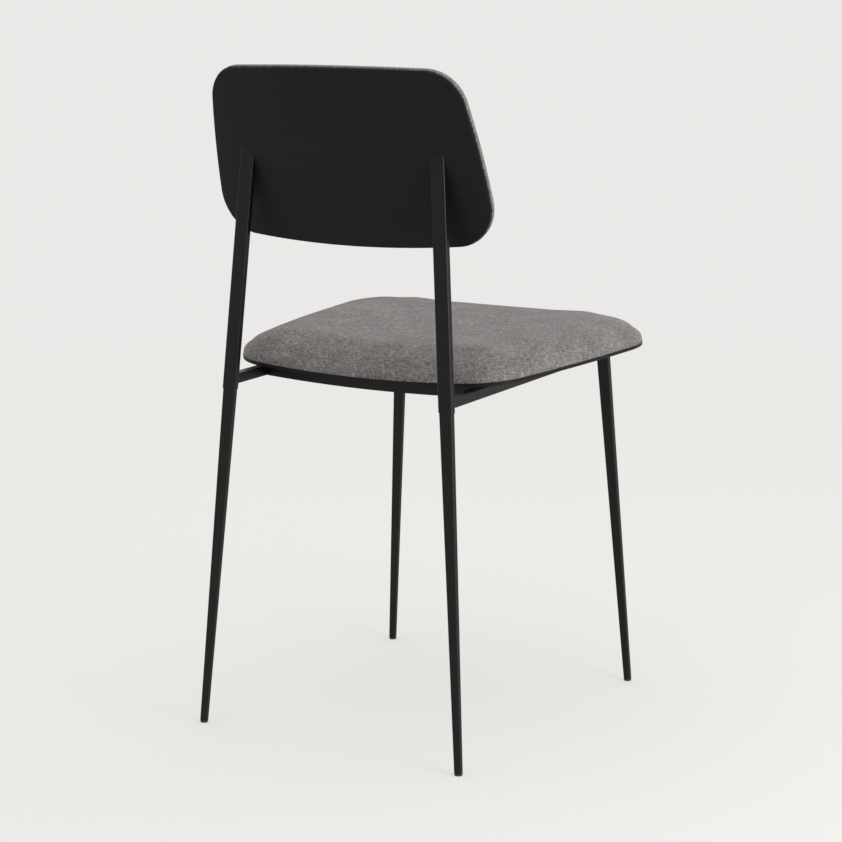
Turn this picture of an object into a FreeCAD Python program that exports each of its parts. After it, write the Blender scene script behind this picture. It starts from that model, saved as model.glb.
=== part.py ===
import FreeCAD, Part
import math
import os

# Dining chair with a welded steel frame, a dished seat and a curved backrest.
# Frame of the part: X to the sitter's left, Y to the rear, Z up, origin on the floor
# at the middle of the chair's overall depth. All sizes are in millimetres.

# ---- Footprint and height -------------------------------------------------------------
rear_foot_x = 179.7         # half the distance between the rear feet
rear_foot_y = 219.0         # rear feet behind the origin
front_foot_x = 179.1        # half the distance between the front feet
front_foot_y = -203.0       # front feet ahead of the origin
post_top_x = 128.2          # half the distance between the tops of the back posts
post_top_y = 180.6          # tops of the back posts behind the origin
post_top_z = 690.0          # height where the middle of a post meets the back shell
front_top_x = 148.4         # half the distance between the front legs at the rails
front_top_y = -178.0        # front legs at the rails

# ---- Seat frame -----------------------------------------------------------------------
rail_rear_y = 187.0         # reference line where the rail height is set
rail_rear_top = 426.2       # top of the side rails at that line
seat_pitch = 1.6            # degrees that the seat and rails rise towards the front
rail_width = 12.2
rail_height = 12.0
rail_wall = 1.5
rail_offset = 2.0           # rails stand this much outside the legs' centre lines
crossbar_depth = 13.0       # front-to-back size of a crossbar
rear_crossbar_y = 122.3     # centre of the rear crossbar behind the origin
front_crossbar_y = -140.0   # centre of the front crossbar

# ---- Legs and posts -------------------------------------------------------------------
foot_width = 9.0
foot_depth = 6.6
leg_width = 16.4            # leg just under the rails, across the chair
leg_depth = 7.9
post_width = 18.0
post_depth = 8.4
bar_corner = 1.7            # rounded long corners of legs and posts
rail_corner = 1.0
leg_joint_drop = 5.0        # a post starts this far below its rail

# ---- Foot glides ----------------------------------------------------------------------
glide_radius = 4.7
glide_height = 3.4
glide_edge = 0.8
glide_stem_radius = 2.0
glide_stem_length = 12.0
stem_clearance = 0.05

# ---- Seat -----------------------------------------------------------------------------
seat_dish_radius = 2360.0   # the seat and its crossbars are bent to this radius
seat_rear_y = 144.8         # rear edge of the shell at its corners' line
seat_front_y = -214.3       # front edge at its corners' line
seat_rear_half = 183.5      # half width at the rear corners' line
seat_front_half = 223.5     # half width at the front corners' line
seat_rear_bulge = 11.0      # the edges bow outwards by these amounts
seat_front_bulge = 9.0
seat_side_bulge = 10.0
seat_rear_corner = 60.0
seat_front_corner = 100.0
seat_shell_thickness = 4.0
seat_board_thickness = 4.0
seat_pad_thickness = 27.0   # board, foam and cover together
seat_pad_round = 19.0
seat_pad_setback = 0.5      # the pad ends this far inside the shell's edge

# ---- Seat fixings ---------------------------------------------------------------------
seat_fix_x = 98.0           # half the distance between the two fixings on a crossbar
tab_width = 26.0
tab_reach = 24.0
tab_thickness = 3.0
spacer_radius = 9.0
spacer_height = 3.3
seat_screw_radius = 3.0
seat_screw_head_radius = 5.5
seat_screw_head_height = 2.8
screw_clearance = 0.3
thread_clearance = 0.05
tee_flange_radius = 8.5
tee_flange_thickness = 1.2
tee_barrel_radius = 4.0

# ---- Backrest -------------------------------------------------------------------------
back_lean = 15.8            # degrees that the backrest leans to the rear
back_radius = 1070.0        # the backrest is bent round the sitter to this radius
back_center_drop = 5.7      # the middle of the shell's rear face below the post tops
back_height = 196.9
back_top_half = 161.6
back_bottom_half = 184.6
back_top_bulge = 6.4
back_bottom_bulge = 6.8
back_side_bulge = 5.2
back_top_corner = 46.0
back_bottom_corner = 47.0
back_shell_thickness = 3.2
back_board_thickness = 3.0
back_pad_thickness = 17.0   # board, foam and cover together
back_pad_round = 8.5
back_pad_overhang = 1.2     # the pad stands out this far past the shell's edge
back_gap = 0.1              # paint between the cut top of a post and the shell
cover_thickness = 1.2       # fabric on both pads
foam_clearance = 0.1        # room between the foam and the fabric

# ---- Back fixings ---------------------------------------------------------------------
back_screw_radius = 2.5
back_screw_head_radius = 4.8
back_screw_head_height = 2.4
back_screw_drop = 18.0      # screw below the tip of its post, along the shell
back_screw_bite = 4.4       # how far a screw reaches into its post

V = FreeCAD.Vector
ORIGIN = V(0, 0, 0)
X_AXIS = V(1, 0, 0)
Y_AXIS = V(0, 1, 0)
Z_AXIS = V(0, 0, 1)
ROOM = 60.0                 # how far cutting blocks reach past what they cut

os.makedirs("parts", exist_ok=True)


def save(name, solids):
    """Write one sub-part, made of one solid or of several equal ones."""
    shape = solids[0] if len(solids) == 1 else Part.makeCompound(solids)
    shape.exportStep("parts/" + name + ".step")


def mirrored(shape):
    """The same piece on the other side of the chair's middle plane."""
    return shape.mirror(ORIGIN, X_AXIS)


def block(x0, x1, y0, y1, z0, z1):
    """A box between two corners."""
    return Part.makeBox(x1 - x0, y1 - y0, z1 - z0, V(x0, y0, z0))


# ---- Legs and posts -------------------------------------------------------------------

def along(start, end, z):
    """The point at height z on the straight line from start to end."""
    share = (z - start[2]) / (end[2] - start[2])
    return [start[i] + share * (end[i] - start[i]) for i in (0, 1)]


def bar_section(center, z, width, depth):
    """A level rectangle with rounded corners, the section of a leg or post."""
    x, y = center
    rectangle = Part.makePlane(width, depth, V(x - width / 2, y - depth / 2, z))
    prism = rectangle.extrude(Z_AXIS)
    uprights = [e for e in prism.Edges if abs(e.tangentAt(e.FirstParameter).z) > 0.9]
    rounded = prism.makeFillet(bar_corner, uprights)
    base = min(rounded.Faces, key=lambda face: face.CenterOfMass.z)
    return base.OuterWire


def tapered_bar(start, end, z0, size0, z1, size1):
    """A straight bar along the line start to end, its section changing evenly."""
    lower = bar_section(along(start, end, z0), z0, *size0)
    upper = bar_section(along(start, end, z1), z1, *size1)
    return Part.makeLoft([lower, upper], True, True)


def even_bar(start, end, z0, z1, size):
    """A straight bar of one section along the line start to end."""
    width, depth = size
    x0, y0 = along(start, end, z0)
    x1, y1 = along(start, end, z1)
    section = Part.makePlane(width, depth, V(x0 - width / 2, y0 - depth / 2, z0))
    prism = section.extrude(V(x1 - x0, y1 - y0, z1 - z0))
    long_corners = [e for e in prism.Edges if e.Length > z1 - z0 - 1]
    return prism.makeFillet(bar_corner, long_corners)


def seat_height(y):
    """Height of the rails' top plane above the floor."""
    return rail_rear_top + (rail_rear_y - y) * math.tan(math.radians(seat_pitch))


rear_foot = (rear_foot_x, rear_foot_y, 0.0)
post_top = (post_top_x, post_top_y, post_top_z)
front_top_z = seat_height(front_top_y)
front_foot = (front_foot_x, front_foot_y, 0.0)
front_top = (front_top_x, front_top_y, front_top_z)
joint_z = rail_rear_top - rail_height - leg_joint_drop
foot_size = (foot_width, foot_depth)
leg_size = (leg_width, leg_depth)
post_size = (post_width, post_depth)


def glide(foot, top):
    """A round plastic foot with a stem that is pushed into the leg."""
    x, y = along(foot, top, glide_height)
    disc = Part.makeCylinder(glide_radius, glide_height, V(x, y, 0))
    rims = [e for e in disc.Edges if len(e.Vertexes) == 1 and e.BoundBox.ZMax < 0.001]
    disc = disc.makeFillet(glide_edge, rims)
    stem = Part.makeCylinder(glide_stem_radius, glide_stem_length, V(x, y, glide_height))
    return disc.fuse(stem).removeSplitter()


def stem_hole(foot, top):
    """The hole in a leg for the stem of its glide."""
    x, y = along(foot, top, glide_height)
    radius = glide_stem_radius + stem_clearance
    depth = glide_stem_length + 1.0
    return Part.makeCylinder(radius, depth, V(x, y, glide_height))


rear_leg = tapered_bar(rear_foot, post_top, glide_height, foot_size, joint_z, leg_size)
rear_leg = rear_leg.cut(stem_hole(rear_foot, post_top))
front_leg = tapered_bar(front_foot, front_top, glide_height, foot_size, front_top_z, leg_size)
front_leg = front_leg.cut(stem_hole(front_foot, front_top))
long_post = even_bar(rear_foot, post_top, joint_z, post_top_z + ROOM, post_size)
rear_glide = glide(rear_foot, post_top)
front_glide = glide(front_foot, front_top)

# ---- Bent sheets ----------------------------------------------------------------------
# The seat and the backrest are drawn lying flat: x across, y towards the rear of the
# seat or the top of the backrest, z towards the sitter. Each layer lies between two
# cylinders about one line along y, so that the layers nest.


def bowed_prism(top_y, bottom_y, top_half, bottom_half, bulges, corners, setback):
    """A tall prism on a trapezium with bowed sides and rounded corners.

    bulges are top, bottom and side; corners are the top and bottom radii; setback
    moves every edge inwards.
    """
    top_bulge, bottom_bulge, side_bulge = bulges
    y1 = top_y - setback
    y0 = bottom_y + setback
    a = top_half - setback
    b = bottom_half - setback
    points = [V(-b, y0, 0), V(b, y0, 0), V(a, y1, 0), V(-a, y1, 0)]
    middle_half = (a + b) / 2 + side_bulge
    middles = [V(0, y0 - bottom_bulge, 0), V(middle_half, (y0 + y1) / 2, 0),
               V(0, y1 + top_bulge, 0), V(-middle_half, (y0 + y1) / 2, 0)]
    edges = []
    for i in range(4):
        edges.append(Part.Arc(points[i], middles[i], points[(i + 1) % 4]).toShape())
    face = Part.Face(Part.Wire(edges))
    prism = face.extrude(V(0, 0, 2 * ROOM))
    prism.translate(V(0, 0, -ROOM))
    top_radius, bottom_radius = corners
    for radius, level in ((top_radius, y1), (bottom_radius, y0)):
        corner_edges = []
        for edge in prism.Edges:
            upright = abs(edge.tangentAt(edge.FirstParameter).z) > 0.9
            if upright and abs(edge.CenterOfMass.y - level) < 0.01:
                corner_edges.append(edge)
        prism = prism.makeFillet(radius - setback, corner_edges)
    return prism


def bent(prism, axis_z, outer, inner):
    """The part of a prism between two cylinders about the line x = 0, z = axis_z."""
    low = prism.BoundBox.YMin - ROOM
    length = prism.BoundBox.YLength + 2 * ROOM
    start = V(0, low, axis_z)
    ring = Part.makeCylinder(outer, length, start, Y_AXIS)
    ring = ring.cut(Part.makeCylinder(inner, length, start, Y_AXIS))
    return prism.common(ring)


def rounded_face(solid, axis_z, radius, fillet):
    """Round the edge of the face that lies on the cylinder of this radius."""
    edges = []
    for edge in solid.Edges:
        middle = edge.valueAt((edge.FirstParameter + edge.LastParameter) / 2)
        if abs(math.hypot(middle.x, axis_z - middle.z) - radius) < 0.01:
            edges.append(edge)
    return solid.makeFillet(fillet, edges)


def pad_layers(outline, axis_z, base, board, pad, fillet):
    """Board, foam and cover of a pad that lies on the cylinder of radius base.

    The cover is a skin over the foam and round the edge of the board, open where the
    pad lies on its shell.
    """
    top = base - pad
    whole = rounded_face(bent(outline(0.0), axis_z, base, top), axis_z, top, fillet)
    skin = cover_thickness
    inside = bent(outline(skin), axis_z, base + 1.0, top + skin)
    inside = rounded_face(inside, axis_z, top + skin, fillet - skin)
    cover = whole.cut(inside)
    inner = skin + foam_clearance
    plate = bent(outline(inner), axis_z, base, base - board)
    foam = bent(outline(inner), axis_z, base - board, top + inner)
    foam = rounded_face(foam, axis_z, top + inner, fillet - inner)
    return plate, foam, cover


def turned(shape, axis_z, angle):
    """Swing a piece about the line of the bend, in degrees towards +x."""
    shape.rotate(V(0, 0, axis_z), Y_AXIS, -angle)
    return shape


# ---- Seat frame -----------------------------------------------------------------------

def lay_seat(shape):
    """Put a piece drawn on the rails' top plane in its place on the chair."""
    shape.rotate(ORIGIN, X_AXIS, -seat_pitch)
    shape.translate(V(0, rail_rear_y, rail_rear_top))
    return shape


rail_x = (along(rear_foot, post_top, rail_rear_top)[0] + front_top_x) / 2 + rail_offset
rail_inner = rail_x - rail_width / 2
rail_back = along(rear_foot, post_top, rail_rear_top)[1] - rail_rear_y
rail_front = front_top_y - rail_rear_y
seat_axis_z = math.sqrt(seat_dish_radius ** 2 - rail_inner ** 2)


def long_edges(solid):
    """The edges of a straight bar that run along y."""
    return [e for e in solid.Edges if abs(e.tangentAt(e.FirstParameter).y) > 0.9]


def side_rail():
    """The left rail, a square tube that ends on the post and on the front leg."""
    x0 = rail_x - rail_width / 2
    x1 = rail_x + rail_width / 2
    tube = block(x0, x1, rail_front, rail_back, -rail_height, 0)
    tube = tube.makeFillet(rail_corner, long_edges(tube))
    hollow = block(x0 + rail_wall, x1 - rail_wall, rail_front - 1, rail_back + 1,
                   rail_wall - rail_height, -rail_wall)
    return lay_seat(tube.cut(hollow)).cut(long_post).cut(front_leg)


def crossbar(y):
    """A tube between the rails, bent to the seat's dish."""
    middle = y - rail_rear_y
    y0 = middle - crossbar_depth / 2
    y1 = middle + crossbar_depth / 2
    outer = block(-rail_inner, rail_inner, y0, y1, -ROOM, ROOM)
    tube = bent(outer, seat_axis_z, seat_dish_radius + rail_height, seat_dish_radius)
    inner = block(-rail_inner - 1, rail_inner + 1, y0 + rail_wall, y1 - rail_wall, -ROOM, ROOM)
    hollow = bent(inner, seat_axis_z, seat_dish_radius + rail_height - rail_wall,
                  seat_dish_radius + rail_wall)
    return lay_seat(tube.cut(hollow))


# ---- Seat -----------------------------------------------------------------------------

def seat_outline(setback):
    """The seat's plan as a prism, with its edges moved inwards by setback."""
    bulges = (seat_rear_bulge, seat_front_bulge, seat_side_bulge)
    corners = (seat_rear_corner, seat_front_corner)
    return bowed_prism(seat_rear_y - rail_rear_y, seat_front_y - rail_rear_y,
                       seat_rear_half, seat_front_half, bulges, corners, setback)


shell_under = seat_dish_radius - spacer_height
shell_over = shell_under - seat_shell_thickness
screw_angle = math.degrees(math.asin(seat_fix_x / seat_dish_radius))


def seat_fixings():
    """The four places of the seat's screws: y, side of the chair, way to the crossbar."""
    reach = crossbar_depth / 2 + tab_reach / 2
    places = []
    for crossbar_y, way in ((rear_crossbar_y, -1), (front_crossbar_y, 1)):
        for side in (-1, 1):
            places.append((crossbar_y - rail_rear_y + way * reach, side))
    return places


def upright_pin(y, side, radius, outer, inner):
    """A round pin at a seat fixing, between two radii of the seat's bend."""
    pin = Part.makeCylinder(radius, outer - inner, V(0, y, seat_axis_z - outer))
    return turned(pin, seat_axis_z, side * screw_angle)


def seat_tab(y, side):
    """A plate on the inner face of a crossbar, with a hole for the seat's screw."""
    half = tab_width / 2
    x = side * seat_fix_x
    plate = block(x - half, x + half, y - tab_reach / 2, y + tab_reach / 2, -ROOM, ROOM)
    plate = bent(plate, seat_axis_z, seat_dish_radius + tab_thickness, seat_dish_radius)
    hole = upright_pin(y, side, seat_screw_radius + screw_clearance,
                       seat_dish_radius + ROOM, seat_dish_radius - ROOM)
    return plate.cut(hole)


def seat_spacer(y, side):
    """A rubber washer between a tab and the shell."""
    disc = upright_pin(y, side, spacer_radius, seat_dish_radius + ROOM, shell_under - ROOM)
    disc = bent(disc, seat_axis_z, seat_dish_radius, shell_under)
    hole = upright_pin(y, side, seat_screw_radius + screw_clearance,
                       seat_dish_radius + ROOM, seat_dish_radius - ROOM)
    return disc.cut(hole)


def seat_screw(y, side):
    """A pan-head screw that comes up through the tab and the spacer into the tee nut."""
    under = seat_dish_radius + tab_thickness
    shank = upright_pin(y, side, seat_screw_radius, under, shell_over + 0.5)
    head = upright_pin(y, side, seat_screw_head_radius, under + seat_screw_head_height, under)
    rims = [e for e in head.Edges if len(e.Vertexes) == 1]
    lowest = min(rims, key=lambda e: e.CenterOfMass.z)
    head = head.makeFillet(seat_screw_head_height / 2, [lowest])
    return head.fuse(shank).removeSplitter()


def tee_nut(y, side):
    """A threaded insert in the shell, its flange let in flush with the upper face."""
    flange = upright_pin(y, side, tee_flange_radius, shell_over + tee_flange_thickness,
                         shell_over)
    barrel = upright_pin(y, side, tee_barrel_radius, shell_under - 0.5, shell_over)
    thread = upright_pin(y, side, seat_screw_radius + thread_clearance,
                         shell_under + 1, shell_over - 1)
    return flange.fuse(barrel).cut(thread)


def seat_shell():
    """The bent plywood shell, bored and recessed for its four tee nuts."""
    shell = bent(seat_outline(0.0), seat_axis_z, shell_under, shell_over)
    for y, side in seat_fixings():
        bore = upright_pin(y, side, tee_barrel_radius + thread_clearance,
                           shell_under + 1, shell_over - 1)
        recess = upright_pin(y, side, tee_flange_radius + thread_clearance,
                             shell_over + tee_flange_thickness + thread_clearance,
                             shell_over - 1)
        shell = shell.cut(bore).cut(recess)
    return shell


def seat_pad_outline(setback):
    """The pad's plan, inside the shell's edge."""
    return seat_outline(seat_pad_setback + setback)


# ---- Backrest -------------------------------------------------------------------------

def back_outline(setback):
    """The backrest's outline as a prism, with its edges moved inwards by setback."""
    bulges = (back_top_bulge, back_bottom_bulge, back_side_bulge)
    corners = (back_top_corner, back_bottom_corner)
    return bowed_prism(back_height / 2, -back_height / 2, back_top_half,
                       back_bottom_half, bulges, corners, setback)


def back_pad_outline(setback):
    """The pad's outline, outside the shell's edge."""
    return back_outline(setback - back_pad_overhang)


lean = math.radians(back_lean)
back_axis_z = back_radius

# The rear face of each post runs up until it meets the back of the shell.
back_center_z = post_top_z - back_center_drop
post_sag = back_radius - math.sqrt(back_radius ** 2 - post_top_x ** 2)
post_level = (post_top_z - back_center_z - post_sag * math.sin(lean)) / math.cos(lean)
back_center_y = (post_top_y + post_depth / 2 + post_sag * math.cos(lean)
                 - post_level * math.sin(lean))
back_front = back_radius - back_shell_thickness
screw_level = post_level - back_screw_drop
fix_angle = math.degrees(math.asin(post_top_x / back_radius))


def lay_back(shape):
    """Put a piece drawn flat on the backrest in its place on the chair."""
    shape.rotate(ORIGIN, X_AXIS, 90.0 - back_lean)
    shape.translate(V(0, back_center_y, back_center_z))
    return shape


def back_pin(radius, outer, inner):
    """A round pin at the left post's screw, between two radii of the backrest's bend."""
    pin = Part.makeCylinder(radius, outer - inner, V(0, screw_level, back_axis_z - outer))
    return turned(pin, back_axis_z, fix_angle)


def back_sink(room):
    """The cone of the screw's head, with room round it."""
    cone = Part.makeCone(back_screw_radius + room, back_screw_head_radius + room,
                         back_screw_head_height,
                         V(0, screw_level, back_axis_z - back_front - back_screw_head_height))
    return turned(cone, back_axis_z, fix_angle)


def back_post():
    """The left post, its top cut to lie on the back of the shell, with a threaded hole."""
    length = 4 * back_height
    front = Part.makeCylinder(back_radius + back_gap, length,
                              V(0, -length / 2, back_axis_z), Y_AXIS)
    thread = back_pin(back_screw_radius + thread_clearance,
                      back_radius + back_screw_bite + 0.3, back_front)
    return long_post.cut(lay_back(front)).cut(lay_back(thread))


def back_screw():
    """A countersunk screw from the front of the shell into the left post."""
    shank = back_pin(back_screw_radius, back_radius + back_screw_bite, back_front + 0.5)
    return lay_back(shank.fuse(back_sink(0.0)).removeSplitter())


def back_shell():
    """The bent plywood shell with a countersunk hole for each of its two screws."""
    shell = bent(back_outline(0.0), back_axis_z, back_radius, back_front)
    hole = back_pin(back_screw_radius + screw_clearance, back_radius + 1, back_front - 1)
    for cutter in (hole, back_sink(screw_clearance)):
        shell = shell.cut(cutter).cut(mirrored(cutter))
    return lay_back(shell)


# ---- Assembly -------------------------------------------------------------------------
pairs = {
    "rear_leg": rear_leg,
    "front_leg": front_leg,
    "back_post": back_post(),
    "side_rail": side_rail(),
    "rear_glide": rear_glide,
    "front_glide": front_glide,
}
for name, piece in pairs.items():
    save("left_" + name, [piece])
    save("right_" + name, [mirrored(piece)])

save("rear_crossbar", [crossbar(rear_crossbar_y)])
save("front_crossbar", [crossbar(front_crossbar_y)])

groups = {
    "seat_tabs": seat_tab,
    "seat_spacers": seat_spacer,
    "seat_screws": seat_screw,
    "seat_tee_nuts": tee_nut,
}
for name, maker in groups.items():
    save(name, [lay_seat(maker(y, side)) for y, side in seat_fixings()])

save("seat_shell", [lay_seat(seat_shell())])
seat_layers = pad_layers(seat_pad_outline, seat_axis_z, shell_over,
                         seat_board_thickness, seat_pad_thickness, seat_pad_round)
for name, layer in zip(("seat_board", "seat_foam", "seat_cover"), seat_layers):
    save(name, [lay_seat(layer)])

save("back_screws", [back_screw(), mirrored(back_screw())])
save("back_shell", [back_shell()])
back_layers = pad_layers(back_pad_outline, back_axis_z, back_front,
                         back_board_thickness, back_pad_thickness, back_pad_round)
for name, layer in zip(("back_board", "back_foam", "back_cover"), back_layers):
    save(name, [lay_back(layer)])
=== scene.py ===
import math

import bmesh
import bpy
import numpy as np
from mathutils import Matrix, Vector


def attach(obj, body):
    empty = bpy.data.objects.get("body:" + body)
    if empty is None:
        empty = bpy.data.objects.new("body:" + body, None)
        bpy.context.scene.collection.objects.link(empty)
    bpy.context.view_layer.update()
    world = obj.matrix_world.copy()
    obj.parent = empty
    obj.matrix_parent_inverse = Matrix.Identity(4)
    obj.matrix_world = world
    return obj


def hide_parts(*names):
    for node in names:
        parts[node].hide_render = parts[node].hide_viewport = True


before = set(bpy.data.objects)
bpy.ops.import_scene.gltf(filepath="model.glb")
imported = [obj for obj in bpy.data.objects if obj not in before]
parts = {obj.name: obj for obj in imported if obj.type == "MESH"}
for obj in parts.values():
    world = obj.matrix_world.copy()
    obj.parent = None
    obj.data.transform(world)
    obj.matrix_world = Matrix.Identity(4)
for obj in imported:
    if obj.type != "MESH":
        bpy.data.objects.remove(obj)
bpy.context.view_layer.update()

# ---- Steel frame ----------------------------------------------------------------------
# Legs, posts, rails and crossbars are slim steel bar and tube, welded into one frame and
# then covered with a fine matt black powder coat. The coat has a shallow orange-peel
# skin, a fine sparkle-free grain and a few dull patches where hands and shoes have been.


class Value:
    """A number or colour on a material's way to its shader; + - * add Math nodes."""

    def __init__(self, finish, socket):
        self.finish = finish
        self.socket = socket

    def math(self, operation, first, second):
        return self.finish.node("Math", {"operation": operation}, {0: first, 1: second})

    def __add__(self, other):
        return self.math("ADD", self, other)

    def __sub__(self, other):
        return self.math("SUBTRACT", self, other)

    def __rsub__(self, other):
        return self.math("SUBTRACT", other, self)

    def __mul__(self, other):
        return self.math("MULTIPLY", self, other)

    __radd__ = __add__
    __rmul__ = __mul__


class Finish:
    """A material on one shader, with one method that adds any node."""

    def __init__(self, name, constants):
        self.material = bpy.data.materials.new(name)
        self.material.use_nodes = True
        self.tree = self.material.node_tree
        self.shader = self.tree.nodes["Principled BSDF"]
        for key, value in constants.items():
            self.shader.inputs[key].default_value = value

    def node(self, kind, settings=None, values=None, output=0):
        """Add a node: its settings first, then the values or links of its sockets."""
        made = self.tree.nodes.new("ShaderNode" + kind)
        for key, value in (settings or {}).items():
            if key == "stops":
                ramp = made.color_ramp
                for place, tint in value[1:-1]:
                    ramp.elements.new(place).color = tint
                ends = (ramp.elements[0], ramp.elements[-1])
                for end, (place, tint) in zip(ends, (value[0], value[-1])):
                    end.position = place
                    end.color = tint
            else:
                setattr(made, key, value)
        for key, value in (values or {}).items():
            if isinstance(value, Value):
                self.tree.links.new(value.socket, made.inputs[key])
            else:
                made.inputs[key].default_value = value
        return Value(self, made.outputs[output])

    def place(self, attribute=None):
        """Where a point is: in the chair's own metres, or on a named surface map."""
        if attribute:
            return self.node("Attribute", {"attribute_name": attribute}, output=1)
        return self.node("TexCoord", output=3)

    def noise(self, where, per_metre, detail=2.0, stretch=(1, 1, 1)):
        """Cloudy noise from 0 to 1, so many patches to a metre along each direction."""
        scaled = self.node("Mapping", values={0: where, 3: stretch})
        return self.node("TexNoise", values={"Vector": scaled, "Scale": per_metre,
                                             "Detail": detail, "Roughness": 0.55})

    def blend(self, share, first, second):
        """Two colours mixed by a share from 0 to 1."""
        return self.node("Mix", {"data_type": "RGBA"},
                         {0: share, 6: first, 7: second}, output=2)

    def between(self, value, low, high):
        """0 where a value is at most low, 1 where it is at least high."""
        return self.node("MapRange", values={0: value, 1: low, 2: high})

    def relief(self, height, depth):
        """Push the surface's light in and out by a height from 0 to 1 times depth."""
        self.paint("Normal", self.node("Bump", values={"Strength": 1.0, "Distance": depth,
                                                       "Height": height}))

    def paint(self, socket, value):
        self.tree.links.new(value.socket, self.shader.inputs[socket])


def colour(red, green, blue):
    return (red, green, blue, 1.0)


def finish_parts(finish, *names):
    """Give CAD parts this material in place of their plain one."""
    for name in names:
        parts[name].data.materials.clear()
        parts[name].data.materials.append(finish.material)


powder_black = Finish("powder_coat", {"Specular IOR Level": 0.22})
where = powder_black.place()
peel = powder_black.noise(where, 900, 1.0)
grit = powder_black.noise(where, 4200, 2.0)
handling = powder_black.noise(where, 26, 3.0)
powder_black.paint("Base Color", powder_black.blend(
    handling, colour(0.0014, 0.0014, 0.0014), colour(0.0028, 0.0027, 0.0025)))
powder_black.paint("Roughness", 0.30 + 0.08 * handling + 0.06 * grit)
powder_black.relief(0.7 * peel + 0.3 * grit, 0.00004)

SIDES = ("left_", "right_")
BARS = ("rear_leg", "front_leg", "back_post", "side_rail")
finish_parts(powder_black, "rear_crossbar", "front_crossbar", "seat_tabs",
             *[side + bar for side in SIDES for bar in BARS])

# ---- Foot glides ----------------------------------------------------------------------
# Each leg stands on a round glide of black nylon, pushed into the leg by its stem. The
# moulded skin is duller than the coat and its rubbing underside is scuffed grey.
glide_nylon = Finish("glide_nylon", {"Specular IOR Level": 0.30})
where = glide_nylon.place()
height = glide_nylon.node("SeparateXYZ", values={0: where}, output=2)
scuffs = glide_nylon.noise(where, 1500, 4.0, (1, 1, 0.3))
worn = (1 - glide_nylon.between(height, 0.0002, 0.0016)) * scuffs
glide_nylon.paint("Base Color", glide_nylon.blend(
    worn, colour(0.012, 0.012, 0.012), colour(0.09, 0.088, 0.085)))
glide_nylon.paint("Roughness", 0.5 + 0.3 * scuffs)
glide_nylon.relief(scuffs, 0.00005)
finish_parts(glide_nylon, *[side + end + "_glide" for side in SIDES
                            for end in ("rear", "front")])

# ---- Spacers and screws ---------------------------------------------------------------
# Four rubber washers keep the seat shell off the crossbars. The screws and the tee nuts
# are zinc-plated steel with fine turning marks and a slightly clouded plating.
rubber = Finish("spacer_rubber", {"Specular IOR Level": 0.30})
where = rubber.place()
bloom = rubber.noise(where, 220, 4.0)
rubber.paint("Base Color", rubber.blend(
    bloom, colour(0.011, 0.011, 0.011), colour(0.03, 0.029, 0.028)))
rubber.paint("Roughness", 0.7 + 0.2 * bloom)
rubber.relief(rubber.noise(where, 2600, 3.0), 0.00006)
finish_parts(rubber, "seat_spacers")

zinc = Finish("zinc_plate", {"Metallic": 1.0})
where = zinc.place()
cloud = zinc.noise(where, 160, 4.0)
marks = zinc.noise(where, 900, 2.0, (1, 1, 9))
zinc.paint("Base Color", zinc.blend(
    cloud, colour(0.46, 0.46, 0.45), colour(0.62, 0.62, 0.64)))
zinc.paint("Roughness", 0.24 + 0.16 * cloud + 0.08 * marks)
zinc.relief(marks, 0.00003)
finish_parts(zinc, "seat_screws", "seat_tee_nuts", "back_screws")

# ---- Plywood shells and boards --------------------------------------------------------
# The seat and back shells are thin moulded birch plywood, stained black and sealed with a
# satin lacquer that lets the grain's pores show as fine shallow lines across the chair.
# The boards inside the pads are the same plywood, left bare.
GRAIN = (0.05, 1.0, 1.0)     # veneer grain runs across the chair, so it is drawn out in x


def veneer(finish, where):
    """The grain of a sheet: broad figure and fine pores, both from 0 to 1."""
    drift = finish.noise(where, 9, 2.0)
    wander = finish.node("VectorMath", {"operation": "SCALE"}, {0: drift, 3: 0.012})
    bent = finish.node("VectorMath", {"operation": "ADD"}, {0: where, 1: wander})
    figure = finish.noise(bent, 130, 4.0, GRAIN)
    pores = finish.between(finish.noise(bent, 1500, 2.0, (0.02, 1.0, 1.0)), 0.50, 0.68)
    return figure, pores


stained_ply = Finish("stained_ply", {"Specular IOR Level": 0.10})
where = stained_ply.place()
figure, pores = veneer(stained_ply, where)
hazy = stained_ply.noise(where, 7, 3.0)
stained_ply.paint("Base Color", stained_ply.blend(
    figure * 0.7 + hazy * 0.3, colour(0.0055, 0.0055, 0.0057),
    colour(0.0105, 0.0103, 0.0101)))
stained_ply.paint("Roughness", 0.40 + 0.10 * hazy + 0.10 * pores)
stained_ply.relief(1 - pores * 0.8 - figure * 0.2, 0.00003)
finish_parts(stained_ply, "seat_shell", "back_shell")

bare_ply = Finish("bare_ply", {"Specular IOR Level": 0.35})
where = bare_ply.place()
figure, pores = veneer(bare_ply, where)
bare_ply.paint("Base Color", bare_ply.blend(
    figure, colour(0.55, 0.40, 0.26), colour(0.70, 0.55, 0.39)))
bare_ply.paint("Roughness", 0.55 + 0.2 * pores)
bare_ply.relief(1 - pores, 0.00008)
finish_parts(bare_ply, "seat_board", "back_board")

# ---- Upholstery -----------------------------------------------------------------------
# The seat pad and the back pad are foam on a board, wrapped in one piece of woven cloth
# that is pulled over the edge and fastened under the board, so no seam shows on top. The
# cloth is a warm grey melange: light and dark yarns in a close plain weave.


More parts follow.
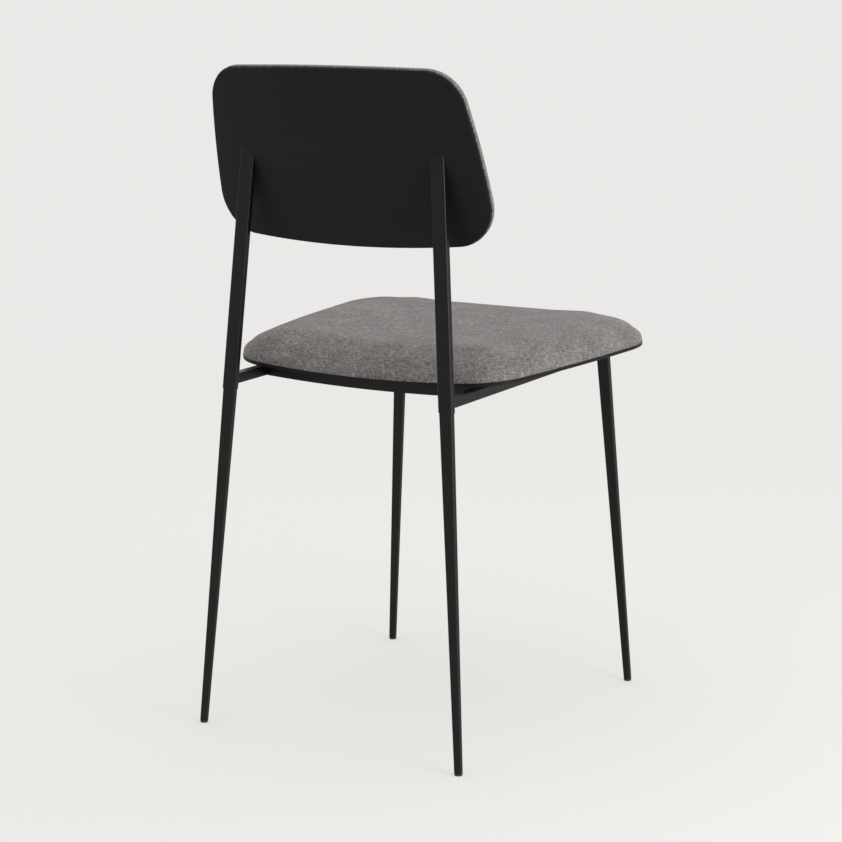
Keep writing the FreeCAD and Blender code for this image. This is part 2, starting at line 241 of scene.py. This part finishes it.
class Outline:
    """A pad's plan: a trapezium with bowed sides and rounded corners.

    Each side is an arc of a large circle through two corners of the trapezium and through
    a point that stands out from the middle of the straight side by the bulge. Each corner
    is a small circle that touches its two sides from inside: its middle lies a corner's
    radius nearer to each side's centre than the side does.
    """

    def __init__(self, rear_y, front_y, rear_half, front_half, bulges, corners):
        rear_bulge, front_bulge, side_bulge = bulges
        rear_corner, front_corner = corners
        self.middle = np.array([0.0, (rear_y + front_y) / 2])
        ring = np.array([(-rear_half, rear_y), (rear_half, rear_y),
                         (front_half, front_y), (-front_half, front_y)])
        self.arcs = []
        for i, bulge in enumerate((rear_bulge, side_bulge, front_bulge, side_bulge)):
            start, end = ring[i], ring[(i + 1) % 4]
            half = np.linalg.norm(end - start) / 2
            side = (end - start) / (2 * half)
            outward = np.array([-side[1], side[0]])
            radius = (half ** 2 + bulge ** 2) / (2 * bulge)
            self.arcs.append(((start + end) / 2 + outward * (bulge - radius), radius))
        self.corners = []
        for i, corner in enumerate((rear_corner, front_corner, front_corner, rear_corner)):
            (first, first_radius), (second, second_radius) = self.arcs[i], self.arcs[(i + 1) % 4]
            between = second - first
            gap = np.linalg.norm(between)
            along = ((first_radius - corner) ** 2 - (second_radius - corner) ** 2
                     + gap ** 2) / (2 * gap)
            aside = math.sqrt((first_radius - corner) ** 2 - along ** 2)
            way = between / gap
            across = np.array([-way[1], way[0]])
            options = [first + way * along + across * aside * side for side in (-1, 1)]
            target = ring[(i + 1) % 4]
            middle = min(options, key=lambda point: np.linalg.norm(point - target))
            self.corners.append((middle, corner, middle - first, middle - second))

    def depth(self, points):
        """How far points lie outside the edge; negative inside.

        The largest distance outside the four sides' circles, but in the wedge between a
        corner's two touching points the distance outside the corner's own circle.
        """
        gaps = [np.linalg.norm(points - c, axis=-1) - radius for c, radius in self.arcs]
        depth = np.max(gaps, axis=0)
        for middle, corner, first, second in self.corners:
            x, y = (points - middle)[..., 0], (points - middle)[..., 1]
            turn = np.sign(first[0] * second[1] - first[1] * second[0])
            after_first = (first[0] * y - first[1] * x) * turn > 0
            before_second = (x * second[1] - y * second[0]) * turn > 0
            depth = np.where(after_first & before_second, np.hypot(x, y) - corner, depth)
        return depth

    def rays(self, count):
        """Directions from the middle, and how far the edge is along each, by halving."""
        angle = np.arange(count) * 2 * math.pi / count
        way = np.stack([np.cos(angle), np.sin(angle)], axis=-1)
        near = np.zeros(count)
        far = np.full(count, 0.5)
        for _ in range(40):
            half = (near + far) / 2
            inside = self.depth(self.middle + way * half[:, None]) < 0
            near = np.where(inside, half, near)
            far = np.where(inside, far, half)
        return way, near

    def outward(self, points):
        """The direction in which the distance outside the edge grows fastest."""
        step = 0.002
        across = self.depth(points + [step, 0]) - self.depth(points - [step, 0])
        along = self.depth(points + [0, step]) - self.depth(points - [0, step])
        way = np.stack([across, along], axis=-1)
        return way / np.maximum(np.linalg.norm(way, axis=-1, keepdims=True), 1e-9)


def surface(name, points, faces):
    """A mesh object at the origin from arrays of points and of faces."""
    mesh = bpy.data.meshes.new(name)
    mesh.from_pydata(points.reshape(-1, 3).tolist(), [], faces)
    piece = bpy.data.objects.new(name, mesh)
    bpy.context.scene.collection.objects.link(piece)
    return piece


def ring_faces(rings, count):
    """Quads between rings of points, each ring closed on itself.

    They face up where the rings run anticlockwise and each lies round the one before.
    """
    ring = np.arange(rings - 1)[:, None] * count
    here = np.arange(count)[None, :]
    after = (here + 1) % count
    quads = np.stack([ring + count + here, ring + count + after, ring + after,
                      ring + here], axis=-1)
    return quads.reshape(-1, 4).tolist()


RAYS = 200                   # directions from a pad's middle in which it is drawn
UNDER_RINGS = 12             # rings of points on its underside
HUB = 0.04                   # its innermost ring, as a share of the way to the edge
SKIRT = 0.012                # cloth below a pad's underside, pressed flat at the end


def flat_pad(name, outline, thickness, edge, crown, level, fullness):
    """A pad drawn lying flat, as rings round its middle from the top to the bottom.

    Ring by ring the distance to the edge shrinks to nothing over the top, then the side
    goes down and the bottom closes flat. The top's height at a point is
    thickness * (1 - t ** fullness) ** (1 / fullness), t being 1 at the pad's edge and
    falling to 0 where the point lies edge inside it, measured straight across the edge;
    further in the top rises by crown towards the middle. All heights above the underside
    grow by the share level * (1 - (x / half width) ** 2) / thickness, which fills part of
    the dish. Below that the side goes on straight down by the skirt.
    """
    way, reach = outline.rays(RAYS)
    half_width = np.abs(way[:, 0] * reach).max()
    inner = np.maximum(reach - edge, 0.2 * reach)
    turn = np.linspace(0, math.pi / 2, 15)
    rings = [(share, 0.0) for share in np.linspace(HUB, 1, 16)[:-1]]
    rings += [(1.0, over) for over in np.sin(turn) ** (2 / fullness)]
    points = []
    for share, over in rings:
        radius = share * (inner + (reach - inner) * over)
        plan = outline.middle + way * radius[:, None]
        t = np.clip(1 + outline.depth(plan) / edge, 0, 1)
        height = thickness * (1 - t ** fullness) ** (1 / fullness) + crown * (1 - share ** 2)
        height *= 1 + level / thickness * (1 - (plan[:, 0] / half_width) ** 2)
        points.append(np.column_stack([plan, height]))
    for share in np.linspace(1, HUB, UNDER_RINGS):
        plan = outline.middle + way * (share * reach)[:, None]
        points.append(np.column_stack([plan, np.full(RAYS, -SKIRT)]))
    last = (len(points) - 1) * RAYS
    faces = ring_faces(len(points), RAYS)
    faces.append(list(range(RAYS)))
    faces.append([last + i for i in range(RAYS)][::-1])
    return surface(name, np.concatenate(points), faces)


def coordinates(piece):
    """A mesh's vertices as an array."""
    flat = np.empty(len(piece.data.vertices) * 3, np.float32)
    piece.data.vertices.foreach_get("co", flat)
    return flat.reshape(-1, 3).astype(float)


def move_to(piece, points):
    """Put a mesh's vertices at these points."""
    piece.data.vertices.foreach_set("co", points.astype(np.float32).ravel())
    piece.data.update()


def settled(piece):
    """Apply every modifier, so that the mesh is the finished shape."""
    depsgraph = bpy.context.evaluated_depsgraph_get()
    mesh = bpy.data.meshes.new_from_object(piece.evaluated_get(depsgraph))
    piece.modifiers.clear()
    piece.data = mesh


def cut_evenly(piece, voxel):
    """Remake a mesh from even squares of this size."""
    remesh = piece.modifiers.new("cut", "REMESH")
    remesh.mode = "VOXEL"
    remesh.voxel_size = voxel
    settled(piece)


BOARD = 0.005                # the cloth is held up to this height, round the board
PUSH = 4.0                   # how hard the foam pushes the cloth
TIME = 20                    # steps of the simulation
SETTLING = 14                # rounds of evening out the cloth's moves


def filled(piece, most):
    """Let the cloth swell under the foam's push, by cloth simulation.

    The cloth is held where it goes round the board. Each point's move is averaged with
    its neighbours' over and over, because tight cloth has no creases, and then held to
    most.
    """
    before = coordinates(piece)
    held = piece.vertex_groups.new(name="held")
    held.add(np.flatnonzero(before[:, 2] < BOARD).tolist(), 1.0, "REPLACE")
    cloth = piece.modifiers.new("cloth", "CLOTH")
    cloth.settings.vertex_group_mass = held.name
    cloth.settings.use_pressure = True
    cloth.settings.uniform_pressure_force = PUSH
    cloth.settings.effector_weights.gravity = 0.0
    cloth.settings.tension_stiffness = 12
    cloth.settings.bending_stiffness = 4
    cloth.settings.quality = 5
    for step in range(1, TIME + 1):
        bpy.context.scene.frame_set(step)
    settled(piece)
    piece.vertex_groups.clear()
    bpy.context.scene.frame_set(1)
    shift = coordinates(piece) - before
    ends = np.empty(len(piece.data.edges) * 2, np.int32)
    piece.data.edges.foreach_get("vertices", ends)
    near, far = ends.reshape(-1, 2).T
    sharing = 1 + np.bincount(ends, minlength=len(shift))[:, None]
    for _ in range(SETTLING):
        total = shift.copy()
        np.add.at(total, near, shift[far])
        np.add.at(total, far, shift[near])
        shift = total / sharing
    size = np.linalg.norm(shift, axis=1, keepdims=True)
    shift *= np.minimum(1.0, most / np.maximum(size, 1e-9))
    move_to(piece, before + shift)


def smoothed(piece, rounds):
    """Ease out the steps that the remeshing left, one neighbour's share at a time."""
    ease = piece.modifiers.new("ease", "SMOOTH")
    ease.factor = 0.5
    ease.iterations = rounds
    divide = piece.modifiers.new("divide", "SUBSURF")
    divide.levels = divide.render_levels = 1
    settled(piece)


WELD = 0.0008                # points nearer together than this become one
CREASE = 50                  # degrees; a sharper turn shows as an edge


def pulled_under(piece, outline):
    """Draw the cloth tight round the board and weld what falls together under it.

    Up to the height BOARD a point near the edge moves straight out or in to the outline,
    and the share of that move falls to nothing at three times the height. The skirt is
    pressed flat against the pad's underside.
    """
    points = coordinates(piece)
    plan = points[:, :2]
    gap = outline.depth(plan)
    share = np.clip((3 * BOARD - points[:, 2]) / (2 * BOARD), 0, 1) * (gap > -1.6 * BOARD)
    points[:, :2] = plan - outline.outward(plan) * (gap * share)[:, None]
    points[:, 2] = np.maximum(points[:, 2], 0.0)
    move_to(piece, points)
    work = bmesh.new()
    work.from_mesh(piece.data)
    bmesh.ops.remove_doubles(work, verts=work.verts, dist=WELD)
    bmesh.ops.recalc_face_normals(work, faces=work.faces)
    work.to_mesh(piece.data)
    work.free()
    piece.data.shade_smooth()
    piece.data.set_sharp_from_angle(angle=math.radians(CREASE))


def lay_cloth(piece, outline, thickness):
    """Store where each point lies on the flat cloth, as the surface map cloth.

    The map is the point's plan, pushed outwards by how far the cloth has come down from
    the top, so the weave runs over the edge and down the side without a break.
    """
    points = coordinates(piece)
    drop = np.maximum(thickness - points[:, 2], 0.0)
    plan = points[:, :2] + outline.outward(points[:, :2]) * drop[:, None]
    laid = np.column_stack([plan, 0.2 * points[:, 2]])
    cloth = piece.data.attributes.new("cloth", "FLOAT_VECTOR", "POINT")
    cloth.data.foreach_set("vector", laid.astype(np.float32).ravel())


def bend_and_place(piece, radius, base, tilt, at):
    """Bend a flat pad round a line along y, tilt it about x, and put it in its place.

    The line is radius above the pad's origin; a point at height h is laid at
    radius - base - h from it, at the angle whose sine is x / (radius - base).
    """
    x, y, h = coordinates(piece).T
    angle = np.arcsin(x / (radius - base))
    reach = radius - base - h
    flat = np.column_stack([reach * np.sin(angle), y, radius - reach * np.cos(angle)])
    c, s = math.cos(tilt), math.sin(tilt)
    turned = np.column_stack([flat[:, 0], flat[:, 1] * c - flat[:, 2] * s,
                              flat[:, 1] * s + flat[:, 2] * c])
    move_to(piece, turned + at)


melange = Finish("melange_weave", {"Sheen Weight": 0.12, "Sheen Roughness": 0.5,
                                   "Specular IOR Level": 0.2})
where = melange.place("cloth")
across, along = (melange.node("SeparateXYZ", values={0: where}, output=i)
                 for i in range(2))
YARN = 0.00085               # one yarn of the weave, in metres
sway = melange.noise(where, 160, 2.0) - 0.5


def yarns(coordinate):
    """Rounded yarns side by side, 0 in the gaps and 1 on the crowns."""
    phase = (coordinate + sway * (YARN * 0.8)) * (math.pi / YARN)
    return melange.node("Math", {"operation": "SINE"}, {0: phase})


warp = yarns(across)
weft = yarns(along)
over = warp * weft
crowns = over * 0.5 + 0.5
slub_along = melange.noise(where, 860, 3.0, (0.18, 1.0, 1.0))
slub_across = melange.noise(where, 860, 3.0, (1.0, 0.18, 1.0))
fuzz = melange.noise(where, 3200, 3.0)
cloudy = melange.noise(where, 24, 4.0)
tone = 0.34 * slub_along + 0.34 * slub_across + 0.22 * fuzz + 0.10 * cloudy
melange.paint("Base Color", melange.node(
    "ValToRGB", {"stops": [(0.38, colour(0.040, 0.035, 0.035)),
                           (0.47, colour(0.102, 0.091, 0.090)),
                           (0.53, colour(0.156, 0.142, 0.141)),
                           (0.62, colour(0.320, 0.298, 0.294))]}, {0: tone}))
melange.paint("Roughness", 0.82 + 0.16 * fuzz)
melange.relief(0.55 * crowns + 0.45 * fuzz, 0.00028)


SQUARE = 0.004               # the cloth is worked out on squares of this size
EASING = 10                  # rounds of easing out the squares' steps


def upholster(name, outline, thickness, edge, crown, level, fullness, most, nodes):
    """One wrapped pad, lying flat."""
    pad = flat_pad(name, outline, thickness, edge, crown, level, fullness)
    cut_evenly(pad, SQUARE)
    filled(pad, most)
    smoothed(pad, EASING)
    pulled_under(pad, outline)
    lay_cloth(pad, outline, thickness)
    pad.data.materials.clear()
    pad.data.materials.append(melange.material)
    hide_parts(*nodes)
    return pad


# ---- Seat cushion ---------------------------------------------------------------------
# A firm, even pad, dished from side to side with the shell under it and rising a little
# to the front. Its edge is well rounded and its cloth goes under at the shell.
SEAT_DISH = 2.360            # the seat is bent to this radius
SEAT_PITCH = 1.6             # degrees that it rises towards the front
SHELL_OVER_RAIL = 0.0073     # the shell's upper face above the rails' top plane
RAIL_LINE = (0.187, 0.4262)  # y and height of the rails' top at the reference line
RAIL_INNER = 0.1440          # the rails' inner faces, from the chair's middle

SEAT_THICK = 0.0312
seat_outline = Outline(
    rear_y=0.1443 - RAIL_LINE[0], front_y=-0.2138 - RAIL_LINE[0],
    rear_half=0.183, front_half=0.223,
    bulges=(0.011, 0.009, 0.010), corners=(0.0595, 0.0995))
seat_cushion = upholster("seat_cushion", seat_outline, SEAT_THICK, edge=0.046,
                         crown=0.0020, level=0.0022, fullness=2.25, most=0.003,
                         nodes=("seat_cover", "seat_foam"))
sag = SEAT_DISH - math.sqrt(SEAT_DISH ** 2 - RAIL_INNER ** 2)
bend_and_place(seat_cushion, SEAT_DISH - sag, SHELL_OVER_RAIL - sag,
               -math.radians(SEAT_PITCH), np.array([0.0, *RAIL_LINE]))
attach(seat_cushion, "root")

# ---- Back cushion ---------------------------------------------------------------------
# A thinner pad of the same make on the front of the curved back shell, its rounded edge
# standing out past the shell's black edge all round.
BACK_BEND = 1.070            # the back shell's rear face is bent to this radius
BACK_LEAN = 15.8             # degrees that it leans to the rear
BACK_MIDDLE = (0.1912, 0.6843)          # y and height of the middle of that face
BACK_SHELL = 0.0032          # how thick the shell is

BACK_THICK = 0.0170
back_outline = Outline(
    rear_y=0.0996, front_y=-0.0996, rear_half=0.1628, front_half=0.1858,
    bulges=(0.0064, 0.0068, 0.0052), corners=(0.0472, 0.0482))
back_cushion = upholster("back_cushion", back_outline, BACK_THICK, edge=0.013,
                         crown=0.001, level=0.0, fullness=2.3, most=0.002,
                         nodes=("back_cover", "back_foam"))
bend_and_place(back_cushion, BACK_BEND, BACK_SHELL,
               math.radians(90 - BACK_LEAN), np.array([0.0, *BACK_MIDDLE]))
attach(back_cushion, "root")

# ---- Studio ---------------------------------------------------------------------------
# A pale matt floor that runs out of sight, an even pale room, a broad soft light low on
# one side and a weaker one high on the other.
STUDIO_GREY = (0.823, 0.815, 0.799)     # the shade of the room at the floor's far edge
CEILING = 1.6                # the room overhead is this many times as bright
FLOOR_RADIUS = 40.0
PLAIN_FLOOR = (0.9, 3.2)     # the floor takes on the room's shade between these distances
HAZE = 0.55                  # the room's share in the floor's shade near the chair
SEAT_LEVEL = 0.45            # the lights are aimed at this height
floor_finish = Finish("floor_paint", {"Specular IOR Level": 0.0})
where = floor_finish.place()
mottle = floor_finish.noise(where, 3, 3.0)
floor_finish.paint("Base Color", floor_finish.blend(
    mottle, colour(0.665, 0.659, 0.646), colour(0.675, 0.669, 0.656)))
floor_finish.paint("Roughness", 0.85 + 0.1 * mottle)
afar = floor_finish.between(floor_finish.node("VectorMath", {"operation": "LENGTH"},
                                              {0: where}, output=1), *PLAIN_FLOOR)
glow = floor_finish.node("Emission", values={"Color": colour(*STUDIO_GREY)})
shade = floor_finish.node("MixShader", values={0: HAZE + (1 - HAZE) * afar, 2: glow})
floor_finish.tree.links.new(floor_finish.shader.outputs[0], shade.socket.node.inputs[1])
floor_finish.tree.links.new(shade.socket,
                            floor_finish.tree.nodes["Material Output"].inputs[0])


def floor_disc(radius):
    """A level disc: rings of points whose distance from the middle grows as a square."""
    rings, count = 24, 96
    angle = np.arange(count) * 2 * math.pi / count
    out = radius * np.linspace(0.02, 1, rings)[:, None] ** 2
    points = np.stack([out * np.cos(angle), out * np.sin(angle),
                       np.zeros((rings, count))], axis=-1)
    faces = ring_faces(rings, count) + [list(range(count))]
    return surface("studio_floor", points, faces)


studio_floor = floor_disc(FLOOR_RADIUS)
studio_floor.data.materials.append(floor_finish.material)

world = bpy.data.worlds.new("studio_room")
world.use_nodes = True
bpy.context.scene.world = world
room = world.node_tree
room_shade = room.nodes["Background"]
direction = room.nodes.new("ShaderNodeTexCoord")
upward = room.nodes.new("ShaderNodeSeparateXYZ")
room.links.new(direction.outputs["Generated"], upward.inputs[0])
ceiling = room.nodes.new("ShaderNodeMapRange")
ceiling.inputs["From Min"].default_value = 0.0
ceiling.inputs["To Min"].default_value = 1.0
ceiling.inputs["To Max"].default_value = CEILING
room.links.new(upward.outputs["Z"], ceiling.inputs["Value"])
room.links.new(ceiling.outputs[0], room_shade.inputs["Strength"])
room_shade.inputs["Color"].default_value = colour(*STUDIO_GREY)
bpy.context.scene.view_settings.view_transform = "Standard"


def softbox(name, azimuth, height, distance, size, power):
    """A square soft light at an azimuth round the chair, aimed at the seat."""
    lamp = bpy.data.lights.new(name, "AREA")
    lamp.shape = "SQUARE"
    lamp.size = size
    lamp.energy = power
    box = bpy.data.objects.new(name, lamp)
    a = math.radians(azimuth)
    box.location = (distance * math.sin(a), -distance * math.cos(a), height)
    aim = Vector((0, 0, SEAT_LEVEL)) - box.location
    box.rotation_euler = aim.to_track_quat("-Z", "Y").to_euler()
    bpy.context.scene.collection.objects.link(box)


softbox("key_light", azimuth=262, height=0.8, distance=2.6, size=1.3, power=52)
softbox("fill_light", azimuth=70, height=2.2, distance=2.8, size=1.0, power=7)

CAMERA_AT = (-1.4313, 2.3034, 0.8701)
CAMERA_AZIMUTH = math.radians(211.98)   # how far round the chair it stands, from the front
CAMERA_RISE = math.radians(10.789)      # how steeply it looks down
camera = bpy.data.cameras.new("camera")
camera.sensor_width = 36.0
camera.lens = 96.71
eye = bpy.data.objects.new("camera", camera)
back = Vector((math.sin(CAMERA_AZIMUTH) * math.cos(CAMERA_RISE),
               -math.cos(CAMERA_AZIMUTH) * math.cos(CAMERA_RISE), math.sin(CAMERA_RISE)))
eye.location = CAMERA_AT
eye.rotation_euler = (-back).to_track_quat("-Z", "Y").to_euler()
bpy.context.scene.collection.objects.link(eye)
bpy.context.scene.camera = eye
